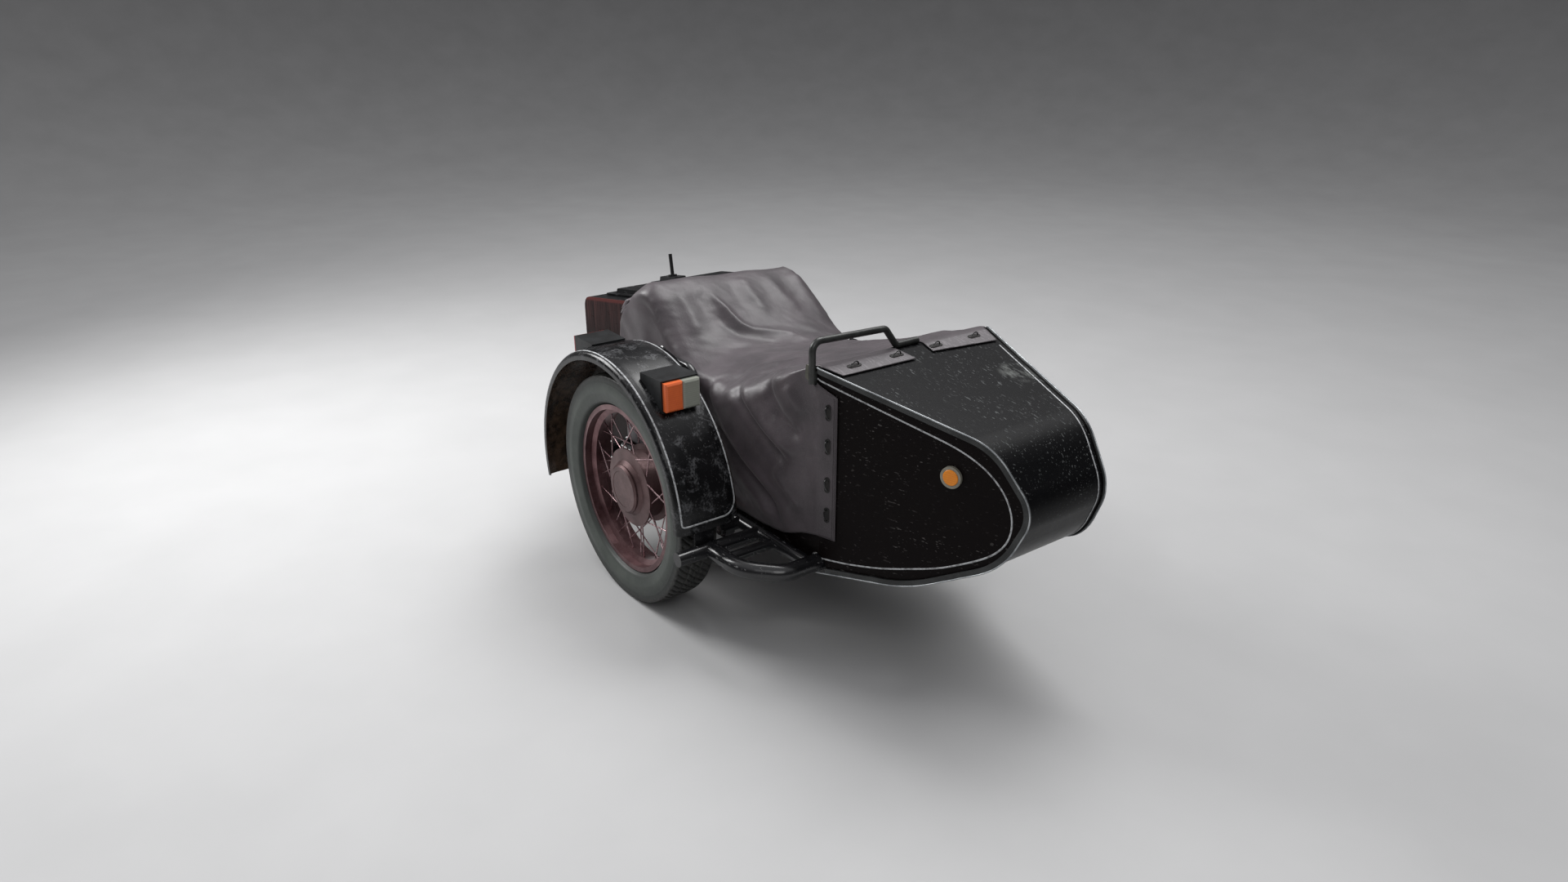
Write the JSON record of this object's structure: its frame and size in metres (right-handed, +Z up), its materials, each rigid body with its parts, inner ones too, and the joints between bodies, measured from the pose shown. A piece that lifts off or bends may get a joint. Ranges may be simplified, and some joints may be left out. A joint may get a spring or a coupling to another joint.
{
  "type": "motorcycle sidecar",
  "caption": "Motorcycle sidecar with a boat-shaped sheet body under a tonneau cover, a tubular frame, a spoked wheel under a fender and a hinged trunk lid.",
  "frame": {"origin": "centre of the rear lower coupling's ball socket, on the side towards the motorcycle", "axes": "+X forward, +Y towards the motorcycle and out of the coupling's mouth, +Z up"},
  "size_m": [1.8205, 1.0392, 0.9061],
  "materials": {
    "body_paint": "worn gloss",
    "side_paint": "worn gloss",
    "frame_paint": "gloss",
    "trim": "semi gloss",
    "wheel_metal": "satin metallic",
    "spoke_steel": "satin",
    "bare_steel": "satin",
    "tyre_rubber": "worn matte",
    "mount_rubber": "matte",
    "cover_leatherette": "satin, creased",
    "seat_leather": "satin",
    "amber_lens": "gloss",
    "clear_lens": "gloss",
    "red_lens": "gloss"
  },
  "bodies": {
    "chassis": {"front_cross_tube": "frame_paint", "rear_cross_tube": "frame_paint", "outer_rail": "frame_paint", "inner_rail": "frame_paint", "fender_tube": "frame_paint", "guard_brace": "frame_paint", "body_mounts": "mount_rubber", "arm_pivot": "frame_paint", "trailing_arm": "frame_paint", "axle_spindle": "bare_steel", "brake_plate": "wheel_metal", "shock_absorber": "trim", "suspension_arch": "frame_paint", "fender": "body_paint", "fender_brackets": "frame_paint", "front_lamp_housing": "trim", "front_lamp_amber": "amber_lens", "front_lamp_clear": "clear_lens", "rear_lamp_housing": "trim", "rear_lamp_lens": "red_lens", "side_panel_right": "side_paint", "side_panel_left": "side_paint", "nose_sheet": "body_paint", "tail_sheet": "body_paint", "floor_pan": "body_paint", "seat_bulkhead": "body_paint", "edge_bead_right": "trim", "edge_bead_left": "trim", "grab_handle": "trim", "reflector_bezel": "trim", "side_reflector": "amber_lens", "seat_cushion": "seat_leather", "backrest": "seat_leather", "cover_top": "cover_leatherette", "cover_flap_right": "cover_leatherette", "cover_flap_left": "cover_leatherette", "cover_buttons": "trim", "rear_lower_coupling": "frame_paint", "front_lower_coupling": "frame_paint", "front_upper_strut": "frame_paint", "rear_upper_strut": "frame_paint", "lid_hinges": "trim"},
    "wheel": {"tyre": "tyre_rubber", "rim": "wheel_metal", "spokes": "spoke_steel", "hub": "wheel_metal", "hub_cap": "wheel_metal"},
    "lid": {"trunk_lid": "body_paint", "spare_wheel_carrier": "trim", "lid_handle": "trim"}
  },
  "joints": [
    {"name": "wheel_spin", "type": "hinge", "parent": "chassis", "child": "wheel", "pos_m": [0.3, -0.9215, 0.05], "axis": [0, 1, 0], "continuous": true},
    {"name": "trunk_lid_hinge", "type": "hinge", "parent": "chassis", "child": "lid", "pos_m": [-0.022, -0.435, 0.51483], "axis": [0, 1, 0], "range_deg": [0, 75]}
  ]
}
